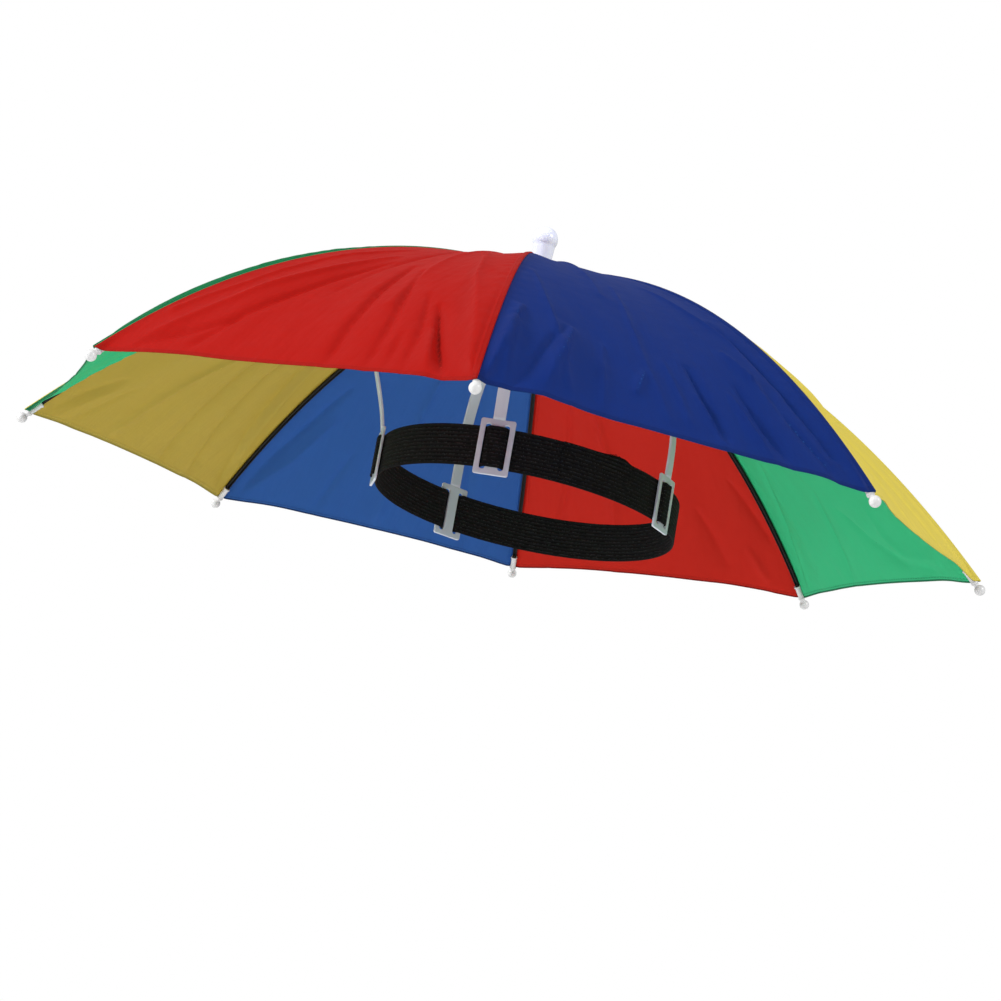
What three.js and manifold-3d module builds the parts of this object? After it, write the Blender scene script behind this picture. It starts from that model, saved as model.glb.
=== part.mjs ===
// Umbrella hat: an eight-panel canopy on eight ribs, carried over the head by four plastic legs
// that end in slotted buckles on an elastic headband.
// Millimetres, +Z up, the wearer faces -Y, and the wearer's left is +X.
// The origin is the centre of the headband, where the head sits.
// Rib 1 points nearly forward, and ribs, panels and tip caps count from it towards the wearer's left.

import * as THREE from "three";
import { mergeVertices } from "three/addons/utils/BufferGeometryUtils.js";
import Module from "manifold-3d";

const wasm = await Module();
wasm.setup();

// Driving dimensions of the canopy
const panelCount = 8;
const tipRadius = 285;
const crownHeight = 135;
const profilePower = 2.15;
const clothThickness = 1;
const hemInset = 2.8;
const crownHole = 6.8;
const bellySag = 1.2;
const hemSag = 5.6;
const hemHold = 0.6;
const hemHoldStart = 0.78;
const seamGap = 0.4;
const seatGap = 0.3;
const sleeveClearance = 0.5;

// Ribs: a channel open underneath, drawn down to a pin that enters the tip cap
const ribWidth = 2.8;
const ribDepthBelow = 0.3;
const ribWall = 0.7;
const ribPinWidth = 2.1;
const ribPinLength = 5;

// Tip caps: a ball on a drilled sleeve
const ballRadius = 3.4;
const capNeckRadius = 1.6;
const sleeveRadius = 2.2;
const sleeveStart = 4.4;
const sleeveBevel = 0.7;
const sleeveEnd = 14.5;
const sleeveBoreRadius = 1.85;
const sleeveBoreDepth = 5.5;
const eyeRadius = 0.8;
const eyePlace = 6.2;

// Hub under the crown and finial above it
const hubRadius = 14;
const hubCrownDepth = 8;
const hubWaistRadius = 6;
const hubWaistDepth = 11;
const hubFootDepth = 6;
const finialBallRadius = 7.6;
const finialHeight = 22.2;
const finialNeckTop = 6.6;
const finialNeckFoot = 5.4;
const finialSkirtRadius = 8.8;
const finialSkirtDepth = 2;
const finialSkirtBevel = 1;

// Headband: a woven elastic loop, longer from front to back, worn a little askew
const bandHalfLength = 99.5;
const bandHalfBreadth = 83.3;
const bandHeight = 23.9;
const bandThickness = 1.2;
const bandTiltBack = 2.8;
const bandTiltSide = 3.6;
const canopyForward = 26.5;
const canopySide = 1.9;
const canopyDrop = 9.7;
const canopyTurn = 7.5;

// Legs and the buckles moulded at their lower ends
const legWidth = 7;
const legThickness = 1.8;
const legRise = 48;
const frontLegFlare = 0.15;
const frontLegShoulder = 114;
const rearLegFlare = 0.03;
const rearLegShoulder = 76;
const buckleWidth = 19.8;
const buckleHeight = 32.4;
const buckleThickness = 1.4;
const buckleCorner = 1.2;
const buckleSideBar = 3;
const buckleEndBar = 3;
const slotCorner = 1.6;
const weaveGap = 0.3;
const frontLeftBuckleAngle = 31;
const frontRightBuckleAngle = 35;
const rearBuckleAngle = 104;

// How finely the surfaces are divided
const panelSteps = 11;
const panelColumns = 12;
const ribSteps = 11;
const legSteps = 14;
const turnedSides = 20;
const capSides = 10;
const capBallSteps = 6;
const eyeSides = 8;
const finialBallSteps = 7;
const cornerSteps = 2;
const bandStep = 12;
const loopSteps = 720;
const mergeDistance = 1e-4;

// Sizes that follow from the others
const clothReach = tipRadius - hemInset;
const clothLift = sleeveRadius + sleeveClearance + clothThickness / 2;
const ribTop = clothLift - clothThickness / 2 - seatGap;
const crownTop = crownHeight + clothLift + clothThickness / 2;
const panelAngle = (2 * Math.PI) / panelCount;
const hubEdge = hubRadius / Math.cos(panelAngle / 2);
const rad = THREE.MathUtils.degToRad;
const weaveOffset = buckleThickness / 2 + weaveGap + bandThickness / 2;

function namedRows(columns, rows) {
  return rows.map((row) => Object.fromEntries(columns.map((name, i) => [name, row[i]])));
}

// The ribs stand a little unevenly: degrees turned towards the wearer's left, and how far the tip and the
// middle rise, as shares of the crown's height
const evenRib = { turned: 0, tipRise: 0, middleRise: 0 };
const ribs = namedRows(["turned", "tipRise", "middleRise"], [
  [0, 0.016, -0.015],
  [0.5, 0.016, -0.01],
  [0, -0.008, 0.006],
  [-0.7, -0.015, 0],
  [0.5, 0.02, 0],
  [0, 0, 0],
  [-0.3, -0.008, 0],
  [0.8, -0.015, -0.01],
]);

// The hems, one for each panel: how far the middle draws in, as a share of the cloth's reach, and how far
// it hangs, as a share of the hem's sag
const hems = namedRows(["drawn", "hang"], [
  [0.002, 0.35],
  [0.001, 0.3],
  [0.03, 1.1],
  [0.02, 1.1],
  [0.018, 0.6],
  [0.016, 0.7],
  [0.013, 0.65],
  [0.013, 0.7],
]);

// Main folds of each panel. Places across a panel run from -1 at its first rib to 1 at its second,
// "starts" is a share of the way from crown to hem, and depth is a share of the hem's sag.
const folds = namedRows(["panel", "atCrown", "atHem", "starts", "depth", "breadth"], [
  [1, -0.78, -0.5, 0.25, 0.3, 0.16],
  [1, 0.62, 0.8, 0.45, -0.42, 0.13],
  [1, 0.1, 0.3, 0.5, 0.2, 0.2],
  [2, -0.85, -0.66, 0.4, 0.42, 0.13],
  [2, -0.5, -0.36, 0.5, -0.3, 0.14],
  [2, 0.55, 0.72, 0.2, 0.3, 0.14],
  [3, -0.75, -0.7, 0.1, 0.35, 0.15],
  [3, 0.5, 0.66, 0.4, 0.3, 0.15],
  [4, -0.6, -0.72, 0.4, 0.34, 0.14],
  [4, 0.66, 0.56, 0.35, -0.34, 0.15],
  [5, -0.66, -0.5, 0.45, 0.34, 0.14],
  [5, 0.5, 0.74, 0.35, -0.36, 0.14],
  [6, -0.74, -0.6, 0.35, -0.34, 0.14],
  [6, 0.42, 0.62, 0.45, 0.34, 0.15],
  [7, -0.56, -0.7, 0.4, 0.36, 0.14],
  [7, 0.7, 0.6, 0.3, -0.3, 0.14],
  [8, -0.62, -0.48, 0.4, -0.34, 0.15],
  [8, 0.8, 0.84, 0.05, 0.45, 0.13],
]);

// Materials
function plastic(colour, roughness, opacity = 1) {
  const transparent = opacity < 1;
  return new THREE.MeshStandardMaterial({ color: colour, roughness, metalness: 0, opacity, transparent });
}

const clothColours = ["red", "blue", "yellow", "green"];
const clothMaterials = {
  red: plastic(0xb8221f, 0.62),
  blue: plastic(0x22357f, 0.62),
  yellow: plastic(0xe0bf3c, 0.62),
  green: plastic(0x2a9a62, 0.62),
};
const ribMaterial = plastic(0x14130f, 0.4);
const capMaterial = plastic(0xececec, 0.35);
const legMaterial = plastic(0xc9d0d2, 0.38);
const bandMaterial = plastic(0x131313, 0.9);
const finialMaterial = plastic(0xdde3f4, 0.25, 0.9);

// A closed mesh from its corner points and triangles, turned so that its faces point out
function closedMesh(points, triangles) {
  let sixVolumes = 0;
  for (const [a, b, c] of triangles) {
    sixVolumes += points[a].dot(new THREE.Vector3().crossVectors(points[b], points[c]));
  }
  const faces = sixVolumes < 0 ? triangles.map(([a, b, c]) => [a, c, b]) : triangles;
  const geometry = new THREE.BufferGeometry();
  geometry.setAttribute("position", new THREE.Float32BufferAttribute(points.flatMap((p) => p.toArray()), 3));
  geometry.setIndex(faces.flat());
  geometry.computeVertexNormals();
  return geometry;
}

// A solid swept through stations. Each station has a centre, the unit directions "across" and "up",
// and an outline of [across, up] pairs. All outlines have as many corners as the first.
function sweep(stations, closed = false) {
  const corners = stations[0].outline.length;
  const points = stations.flatMap(({ centre, across, up, outline }) =>
    outline.map(([a, u]) => centre.clone().addScaledVector(across, a).addScaledVector(up, u)));
  const triangles = [];
  const bands = closed ? stations.length : stations.length - 1;
  for (let i = 0; i < bands; i++) {
    const here = i * corners;
    const next = ((i + 1) % stations.length) * corners;
    for (let j = 0; j < corners; j++) {
      const k = (j + 1) % corners;
      triangles.push([here + j, here + k, next + k], [here + j, next + k, next + j]);
    }
  }
  if (!closed) {
    const flat = stations[0].outline.map(([a, u]) => new THREE.Vector2(a, u));
    const lid = THREE.ShapeUtils.triangulateShape(flat, []);
    const last = (stations.length - 1) * corners;
    const firstTurn = THREE.ShapeUtils.area(flat) > 0;
    for (const [a, b, c] of lid) {
      triangles.push(firstTurn ? [a, c, b] : [a, b, c]);
      triangles.push(firstTurn ? [last + a, last + b, last + c] : [last + a, last + c, last + b]);
    }
  }
  return closedMesh(points, triangles);
}

// Solids for joining and cutting
function toSolid(geometry) {
  const bare = geometry.clone();
  bare.deleteAttribute("normal");
  bare.deleteAttribute("uv");
  const merged = mergeVertices(bare, mergeDistance);
  return new wasm.Manifold(new wasm.Mesh({
    numProp: 3,
    vertProperties: new Float32Array(merged.attributes.position.array),
    triVerts: new Uint32Array(merged.index.array),
  }));
}

function fromSolid(solid) {
  const mesh = solid.getMesh();
  const geometry = new THREE.BufferGeometry();
  geometry.setAttribute("position", new THREE.Float32BufferAttribute(mesh.vertProperties, 3));
  geometry.setIndex(Array.from(mesh.triVerts));
  geometry.computeVertexNormals();
  return geometry;
}

// A turned solid from [radius, height] pairs, with its axis along +Z
function turned(profile, sides) {
  const geometry = new THREE.LatheGeometry(profile.map(([r, h]) => new THREE.Vector2(r, h)), sides);
  geometry.rotateX(Math.PI / 2);
  return fromSolid(toSolid(geometry));
}

// Directions round the canopy: angle 0 is forward and the angle grows towards the wearer's left
function outwardAt(angle) {
  return new THREE.Vector3(Math.sin(angle), -Math.cos(angle), 0);
}

function sidewaysAt(angle) {
  return new THREE.Vector3(Math.cos(angle), Math.sin(angle), 0);
}

// The curve that the ribs follow, from the crown to the tip balls near height 0
function ribAngle(number) {
  return (number - 1) * panelAngle + rad(ribs[number - 1].turned);
}

function ribHeight(radius, { tipRise, middleRise } = evenRib) {
  const share = radius / tipRadius;
  const uneven = tipRise * share ** 2 + middleRise * Math.sin(Math.PI * share) ** 2;
  return crownHeight * (1 - share ** profilePower + uneven);
}

function ribFall(radius, { tipRise, middleRise } = evenRib) {
  const share = radius / tipRadius;
  const uneven = 2 * tipRise * share + middleRise * Math.PI * Math.sin(2 * Math.PI * share);
  return (crownHeight / tipRadius) * (profilePower * share ** (profilePower - 1) - uneven);
}

function curveNormal(angle, radius, rib = evenRib) {
  const normal = outwardAt(angle).multiplyScalar(ribFall(radius, rib));
  normal.z = 1;
  return normal.normalize();
}

function ribNormal(number, radius) {
  return curveNormal(ribAngle(number), radius, ribs[number - 1]);
}

function ribPoint(number, radius) {
  const point = outwardAt(ribAngle(number)).multiplyScalar(radius);
  point.z = ribHeight(radius, ribs[number - 1]);
  return point;
}

function ribSideways(number) {
  return sidewaysAt(ribAngle(number));
}

// Cloth panels: a straight chord between two ribs, let down by the sag and raised or sunk by the folds
function smoothStep(x) {
  const t = THREE.MathUtils.clamp(x, 0, 1);
  return t * t * (3 - 2 * t);
}

function foldHeight(panel, share, across) {
  let height = 0;
  const held = 1 - hemHold * smoothStep((share - hemHoldStart) / (1 - hemHoldStart));
  for (const fold of folds) {
    if (fold.panel !== panel) continue;
    const line = fold.atCrown + (fold.atHem - fold.atCrown) * share;
    const reach = smoothStep((share - fold.starts) / (1 - fold.starts));
    height += fold.depth * hemSag * reach * Math.exp(-(((across - line) / fold.breadth) ** 2));
  }
  return height * held * (1 - across ** 8);
}

function clothSag(share, hang) {
  return bellySag * Math.sin(Math.PI * share) + hemSag * hang * share;
}

function clothPoint(panel, share, across, side) {
  const middle = (panel - 1 / 2) * panelAngle;
  const radius = clothReach * share;
  const edge = (number, inwards) => ribPoint(number, radius)
    .addScaledVector(ribNormal(number, radius), clothLift)
    .addScaledVector(ribSideways(number), (inwards * seamGap) / 2);
  const point = edge(panel, 1).lerp(edge((panel % panelCount) + 1, -1), (1 + across) / 2);
  const sag = clothSag(share, hems[panel - 1].hang) * (1 - across ** 2);
  point.addScaledVector(curveNormal(middle, radius), -sag);
  const through = curveNormal(middle + across * panelAngle / 2, radius);
  return point.addScaledVector(through, foldHeight(panel, share, across) + side * clothThickness / 2);
}

function panelGeometry(panel) {
  const points = [];
  const start = crownHole / clothReach;
  const place = (side, i, j) => (side * (panelSteps + 1) + i) * (panelColumns + 1) + j;
  for (const side of [1, -1]) {
    for (let i = 0; i <= panelSteps; i++) {
      for (let j = 0; j <= panelColumns; j++) {
        const across = -1 + (2 * j) / panelColumns;
        const hem = 1 - hems[panel - 1].drawn * (1 - across ** 2);
        points.push(clothPoint(panel, start + (hem - start) * (i / panelSteps), across, side));
      }
    }
  }
  const triangles = [];
  const quad = (a, b, c, d) => triangles.push([a, b, c], [a, c, d]);
  for (let i = 0; i < panelSteps; i++) {
    for (let j = 0; j < panelColumns; j++) {
      quad(place(0, i, j), place(0, i + 1, j), place(0, i + 1, j + 1), place(0, i, j + 1));
      quad(place(1, i, j), place(1, i, j + 1), place(1, i + 1, j + 1), place(1, i + 1, j));
    }
    const m = panelColumns;
    quad(place(0, i, 0), place(1, i, 0), place(1, i + 1, 0), place(0, i + 1, 0));
    quad(place(0, i, m), place(0, i + 1, m), place(1, i + 1, m), place(1, i, m));
  }
  for (let j = 0; j < panelColumns; j++) {
    const n = panelSteps;
    quad(place(0, 0, j), place(0, 0, j + 1), place(1, 0, j + 1), place(1, 0, j));
    quad(place(0, n, j), place(1, n, j), place(1, n, j + 1), place(0, n, j + 1));
  }
  return closedMesh(points, triangles);
}

// The rib's channel section, open underneath, with a ridged back that follows the two panels' slopes,
// and the solid pin section with as many corners
function ribOutline() {
  const w = ribWidth / 2;
  const v = w - ribWall;
  const halfChord = tipRadius * Math.sin(panelAngle / 2);
  const shoulder = ribTop - w * (Math.tan(panelAngle / 2) + (2 * hemSag) / halfChord);
  const roof = shoulder - ribWall / 2;
  return [[0, ribTop], [-w, shoulder], [-w, -ribDepthBelow], [-v, -ribDepthBelow], [-v, roof],
    [v, roof], [v, -ribDepthBelow], [w, -ribDepthBelow], [w, shoulder]];
}

function pinOutline() {
  const w = ribPinWidth / 2;
  const v = w / 2;
  return [[0, w], [-w, v], [-w, -v], [-v, -w], [-v / 3, -w], [v / 3, -w], [v, -w], [w, -v], [w, v]];
}

function ribStation(number, radius, outline) {
  return {
    centre: ribPoint(number, radius), across: ribSideways(number), up: ribNormal(number, radius), outline,
  };
}

// The direction along a rib at its tip, towards the crown
function inwardsAtTip(number) {
  return new THREE.Vector3().crossVectors(ribNormal(number, tipRadius), ribSideways(number));
}

function ribGeometry(number) {
  const inner = hubRadius + seatGap;
  const steepness = Math.hypot(1, ribFall(tipRadius, ribs[number - 1]));
  const mouth = tipRadius - (sleeveEnd + seatGap) / steepness;
  const stations = [];
  for (let i = 0; i <= ribSteps; i++) {
    stations.push(ribStation(number, inner + (mouth - inner) * (i / ribSteps), ribOutline()));
  }
  const tip = ribPoint(number, tipRadius);
  for (const distance of [sleeveEnd + seatGap / 2, sleeveEnd + seatGap - ribPinLength]) {
    stations.push({
      centre: tip.clone().addScaledVector(inwardsAtTip(number), distance),
      across: ribSideways(number), up: ribNormal(number, tipRadius), outline: pinOutline(),
    });
  }
  return sweep(stations);
}

// Tip cap along +Z from its ball, with a bore for the rib's pin and an eye for the cloth's thread
function capGeometry() {
  const profile = [[0, -ballRadius]];
  for (let i = 1; i <= capBallSteps; i++) {
    const turn = Math.PI * (i / (capBallSteps + 1) - 1 / 2);
    profile.push([ballRadius * Math.cos(turn), ballRadius * Math.sin(turn)]);
  }
  profile.push([capNeckRadius, ballRadius], [capNeckRadius, sleeveStart]);
  profile.push([sleeveRadius, sleeveStart + sleeveBevel]);
  profile.push([sleeveRadius, sleeveEnd], [sleeveBoreRadius, sleeveEnd]);
  profile.push([sleeveBoreRadius, sleeveEnd - sleeveBoreDepth], [0, sleeveEnd - sleeveBoreDepth]);
  const eye = new THREE.CylinderGeometry(eyeRadius, eyeRadius, 3 * sleeveRadius, eyeSides);
  eye.translate(0, 0, eyePlace);
  return fromSolid(toSolid(turned(profile, capSides)).subtract(toSolid(eye)));
}

// Headband: places along its loop are measured from the front, towards the wearer's left
function ellipseTable() {
  const table = [{ turn: 0, run: 0 }];
  let last = ellipsePoint(0);
  for (let i = 1; i <= loopSteps; i++) {
    const turn = (2 * Math.PI * i) / loopSteps;
    const point = ellipsePoint(turn);
    table.push({ turn, run: table[i - 1].run + point.distanceTo(last) });
    last = point;
  }
  return table;
}

function ellipsePoint(turn) {
  const breadth = bandHalfBreadth - bandThickness / 2;
  const length = bandHalfLength - bandThickness / 2;
  return new THREE.Vector3(breadth * Math.sin(turn), -length * Math.cos(turn), 0);
}

function ellipseOutward(turn) {
  const forward = -Math.cos(turn) / bandHalfLength;
  return new THREE.Vector3(Math.sin(turn) / bandHalfBreadth, forward, 0).normalize();
}

const loop = ellipseTable();
const loopLength = loop[loop.length - 1].run;

function turnAtRun(run) {
  const wrapped = ((run % loopLength) + loopLength) % loopLength;
  const i = loop.findIndex((row) => row.run >= wrapped);
  if (i <= 0) return 0;
  const part = (wrapped - loop[i - 1].run) / (loop[i].run - loop[i - 1].run);
  return loop[i - 1].turn + part * (loop[i].turn - loop[i - 1].turn);
}

function runAtTurn(turn) {
  const full = 2 * Math.PI;
  const wrapped = ((turn % full) + full) % full;
  const i = Math.max(1, loop.findIndex((row) => row.turn >= wrapped));
  const part = (wrapped - loop[i - 1].turn) / (loop[i].turn - loop[i - 1].turn);
  return loop[i - 1].run + part * (loop[i].run - loop[i - 1].run);
}

const frontLeg = { flare: frontLegFlare, shoulder: frontLegShoulder };
const rearLeg = { flare: rearLegFlare, shoulder: rearLegShoulder };
const legs = [
  { name: "leg_front_left", turn: rad(frontLeftBuckleAngle), ...frontLeg },
  { name: "leg_rear_left", turn: rad(rearBuckleAngle), ...rearLeg },
  { name: "leg_rear_right", turn: rad(-rearBuckleAngle), ...rearLeg },
  { name: "leg_front_right", turn: rad(-frontRightBuckleAngle), ...frontLeg },
];

// The band lies inside each buckle's side bars and comes out through the slots over its middle bar
function bandGeometry() {
  const bar = legWidth / 2 + weaveGap;
  const slotEnd = buckleWidth / 2 - buckleSideBar - weaveGap;
  const runs = [];
  const centres = legs.map((leg) => runAtTurn(leg.turn)).sort((a, b) => a - b);
  centres.forEach((centre, i) => {
    const next = i + 1 < centres.length ? centres[i + 1] : centres[0] + loopLength;
    runs.push([centre - slotEnd, 0], [centre - bar, 1], [centre + bar, 1], [centre + slotEnd, 0]);
    const from = centre + slotEnd;
    const to = next - slotEnd;
    const steps = Math.round((to - from) / bandStep);
    for (let k = 1; k < steps; k++) runs.push([from + ((to - from) * k) / steps, 0]);
  });
  const line = runs.map(([run, over]) => {
    const turn = turnAtRun(run);
    return ellipsePoint(turn).addScaledVector(ellipseOutward(turn), over * 2 * weaveOffset);
  });
  const up = new THREE.Vector3(0, 0, 1);
  const stations = line.map((centre, i) => {
    const before = line[(i + line.length - 1) % line.length];
    const after = line[(i + 1) % line.length];
    const arriving = centre.clone().sub(before).normalize();
    const leaving = after.clone().sub(centre).normalize();
    const mitre = arriving.clone().add(leaving).normalize();
    const out = new THREE.Vector3().crossVectors(mitre, up);
    const half = bandThickness / 2 / mitre.dot(leaving);
    const h = bandHeight / 2;
    return { centre, across: out, up, outline: [[-half, -h], [half, -h], [half, h], [-half, h]] };
  });
  return sweep(stations, true);
}

// Buckle plate in its own plane: x across, y up, with two slots either side of the middle bar
function roundedBox(target, x0, y0, x1, y1, corner) {
  target.moveTo(x0 + corner, y0);
  target.lineTo(x1 - corner, y0);
  target.absarc(x1 - corner, y0 + corner, corner, -Math.PI / 2, 0, false);
  target.lineTo(x1, y1 - corner);
  target.absarc(x1 - corner, y1 - corner, corner, 0, Math.PI / 2, false);
  target.lineTo(x0 + corner, y1);
  target.absarc(x0 + corner, y1 - corner, corner, Math.PI / 2, Math.PI, false);
  target.lineTo(x0, y0 + corner);
  target.absarc(x0 + corner, y0 + corner, corner, Math.PI, 1.5 * Math.PI, false);
  return target;
}

function bucklePlate() {
  const w = buckleWidth / 2;
  const h = buckleHeight / 2;
  const plate = roundedBox(new THREE.Shape(), -w, -h, w, h, buckleCorner);
  const slotOuter = w - buckleSideBar;
  const slotInner = legWidth / 2;
  const slotHalf = h - buckleEndBar;
  plate.holes.push(roundedBox(new THREE.Path(), -slotOuter, -slotHalf, -slotInner, slotHalf, slotCorner));
  plate.holes.push(roundedBox(new THREE.Path(), slotInner, -slotHalf, slotOuter, slotHalf, slotCorner));
  const options = { depth: buckleThickness, bevelEnabled: false, curveSegments: cornerSteps };
  const geometry = new THREE.ExtrudeGeometry(plate, options);
  geometry.translate(0, 0, -buckleThickness / 2);
  return geometry;
}

const deepestHang = Math.max(...hems.map(({ hang }) => hang));
const hubSag = clothSag(hubEdge / clothReach, deepestHang);
const hubTop = ribHeight(hubEdge) + clothLift - clothThickness / 2 - hubSag - seatGap;
const hubFootTop = hubTop - hubCrownDepth - hubWaistDepth;
const bandTilt = new THREE.Euler(rad(-bandTiltBack), rad(-bandTiltSide), 0);
const canopyCentre = new THREE.Vector3(-canopySide, -canopyForward, -canopyDrop);

// Leg: a strip from the hub's foot, over the head and down to the top bar of its buckle
function legGeometry({ turn, flare, shoulder }) {
  const out = ellipseOutward(turn).applyEuler(bandTilt);
  const up = new THREE.Vector3(0, 0, 1).applyEuler(bandTilt);
  const sideways = new THREE.Vector3().crossVectors(up, out);
  const plateCentre = ellipsePoint(turn).addScaledVector(ellipseOutward(turn), weaveOffset);
  plateCentre.applyEuler(bandTilt);
  const frame = new THREE.Matrix4().makeBasis(sideways, up, out).setPosition(plateCentre);
  const plate = bucklePlate().applyMatrix4(frame);

  const foot = plateCentre.clone().addScaledVector(up, buckleHeight / 2 - buckleEndBar / 2);
  const spread = foot.clone().sub(canopyCentre).setZ(0).normalize();
  const start = canopyCentre.clone().addScaledVector(spread, hubRadius + seatGap);
  start.z += hubFootTop - hubFootDepth / 2;
  const bend = start.clone().addScaledVector(spread, shoulder);
  const rise = foot.clone().addScaledVector(up, legRise).addScaledVector(spread, flare * legRise);
  const path = new THREE.CubicBezierCurve3(start, bend, rise, foot);
  const hubSideways = new THREE.Vector3(0, 0, 1).cross(spread);
  const w = legWidth / 2;
  const t = legThickness / 2;
  const stations = [];
  for (let i = 0; i <= legSteps; i++) {
    const share = i / legSteps;
    const along = path.getTangent(share);
    const across = hubSideways.clone().lerp(sideways, smoothStep(share));
    across.addScaledVector(along, -across.dot(along)).normalize();
    const away = new THREE.Vector3().crossVectors(across, along);
    const thin = THREE.MathUtils.lerp(t, buckleThickness / 2, smoothStep(share));
    stations.push({
      centre: path.getPoint(share), across, up: away,
      outline: [[-w, -thin], [w, -thin], [w, thin], [-w, thin]],
    });
  }
  return fromSolid(toSolid(sweep(stations)).add(toSolid(plate)));
}

// Hub: a crown disc that the ribs butt on, a waist, and a foot disc that the legs butt on
function hubGeometry() {
  const crownFoot = hubTop - hubCrownDepth;
  const foot = hubFootTop - hubFootDepth;
  return turned([[0, foot], [hubRadius, foot], [hubRadius, hubFootTop], [hubWaistRadius, hubFootTop],
    [hubWaistRadius, crownFoot], [hubRadius, crownFoot], [hubRadius, hubTop], [0, hubTop]], turnedSides);
}

// Finial: a ball on a tapered neck, with a skirt over the cloth and a stem down to the hub
function finialGeometry() {
  const skirtFoot = crownTop + seatGap;
  const centre = crownTop + finialHeight;
  const neckTurn = -Math.acos(finialNeckTop / finialBallRadius);
  const profile = [[0, hubTop + seatGap], [finialNeckFoot, hubTop + seatGap], [finialNeckFoot, skirtFoot]];
  profile.push([finialSkirtRadius, skirtFoot], [finialSkirtRadius, skirtFoot + finialSkirtDepth / 2]);
  profile.push([finialSkirtRadius - finialSkirtBevel, skirtFoot + finialSkirtDepth]);
  profile.push([finialNeckFoot, skirtFoot + finialSkirtDepth + finialSkirtBevel]);
  for (let i = 0; i < finialBallSteps; i++) {
    const angle = neckTurn + ((Math.PI / 2 - neckTurn) * i) / finialBallSteps;
    profile.push([finialBallRadius * Math.cos(angle), centre + finialBallRadius * Math.sin(angle)]);
  }
  profile.push([0, centre + finialBallRadius]);
  return turned(profile, turnedSides);
}

// Assembly
function piece(name, geometry, material) {
  const mesh = new THREE.Mesh(geometry, material);
  mesh.name = name;
  return mesh;
}

const hat = new THREE.Group();

const canopy = new THREE.Group();
canopy.position.copy(canopyCentre);
canopy.rotation.z = rad(-canopyTurn);
hat.add(canopy);
const cap = capGeometry();
for (let k = 1; k <= panelCount; k++) {
  const colour = clothColours[(k - 1) % clothColours.length];
  canopy.add(piece(`panel_${k}_${colour}`, panelGeometry(k), clothMaterials[colour]));
  canopy.add(piece(`rib_${k}`, ribGeometry(k), ribMaterial));
  const tipCap = piece(`tip_cap_${k}`, cap, capMaterial);
  const alongRib = new THREE.Matrix4().makeBasis(ribNormal(k, tipRadius), ribSideways(k), inwardsAtTip(k));
  tipCap.position.copy(ribPoint(k, tipRadius));
  tipCap.quaternion.setFromRotationMatrix(alongRib);
  canopy.add(tipCap);
}
canopy.add(piece("hub", hubGeometry(), capMaterial));
canopy.add(piece("finial", finialGeometry(), finialMaterial));

const band = piece("headband", bandGeometry(), bandMaterial);
band.rotation.copy(bandTilt);
hat.add(band);
for (const leg of legs) hat.add(piece(leg.name, legGeometry(leg), legMaterial));

export default hat;
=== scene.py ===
"""Umbrella hat: cloth canopy, ribs with ball tips, finial, strip legs with slotted buckles, elastic headband.

Metres, +Z up, the wearer faces -Y, and the wearer's left is +X.
"""
import math

import bpy
import numpy as np
from mathutils import Matrix, Vector


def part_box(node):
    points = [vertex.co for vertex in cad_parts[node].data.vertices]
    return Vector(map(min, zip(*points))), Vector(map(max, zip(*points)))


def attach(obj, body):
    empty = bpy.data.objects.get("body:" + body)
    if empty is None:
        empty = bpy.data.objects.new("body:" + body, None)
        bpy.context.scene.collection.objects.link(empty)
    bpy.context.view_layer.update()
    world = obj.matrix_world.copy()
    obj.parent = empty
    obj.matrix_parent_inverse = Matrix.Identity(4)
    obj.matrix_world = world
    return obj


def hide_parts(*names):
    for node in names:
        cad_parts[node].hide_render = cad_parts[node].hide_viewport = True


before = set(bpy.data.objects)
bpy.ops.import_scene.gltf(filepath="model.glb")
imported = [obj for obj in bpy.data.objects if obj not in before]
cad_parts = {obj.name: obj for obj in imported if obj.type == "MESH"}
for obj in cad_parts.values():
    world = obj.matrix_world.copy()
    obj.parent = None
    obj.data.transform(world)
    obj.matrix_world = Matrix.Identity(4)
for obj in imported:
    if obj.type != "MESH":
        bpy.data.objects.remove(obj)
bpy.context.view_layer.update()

mm = 0.001

# Canopy sizes, as the solids have them
panel_count = 8
panel_numbers = range(1, panel_count + 1)
panel_angle = 2 * math.pi / panel_count
tip_radius = 285 * mm
crown_height = 135 * mm
profile_power = 2.15
cloth_lift = 3.2 * mm
cloth_reach = 282.2 * mm
panel_length = cloth_reach * 1.17
crown_hole = 6.8 * mm
belly_sag = 1.2 * mm
hem_sag = 5.6 * mm
hem_hold = 0.6
hem_hold_start = 0.78
canopy_centre = np.array([-1.9, -26.5, -9.7]) * mm
canopy_turn = math.radians(-7.5)

# Each rib's uneven stand: degrees turned, and the rise of its tip and its middle over the crown's height
rib_rows = [(0, 0.016, -0.015), (0.5, 0.016, -0.01), (0, -0.008, 0.006), (-0.7, -0.015, 0),
            (0.5, 0.02, 0), (0, 0, 0), (-0.3, -0.008, 0), (0.8, -0.015, -0.01)]
# Each panel's hem: how far its middle draws in over the reach, and hangs over the hem's sag
hem_rows = [(0.002, 0.35), (0.001, 0.3), (0.03, 1.1), (0.02, 1.1),
            (0.018, 0.6), (0.016, 0.7), (0.013, 0.65), (0.013, 0.7)]

# Cloth, seams and hem
cloth_thickness = 0.3 * mm
seam_width = 3.2 * mm
seam_height = 0.5 * mm
hem_width = 3 * mm
hem_height = 0.12 * mm
# Width of the rolled hem on the inside, which is darkened with painted shade and lets less light through
rolled_shaded_edge = 1.1 * mm
stitch_pitch = 2.6 * mm
thread_pitch = 0.42 * mm
wave_turns = 0.3142
light_through = 0.42
corner_drop = 2 * mm
crease_depth = 3.6
crease_reach = 0.85
panel_colours = ["red", "blue", "yellow", "green"]

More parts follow.
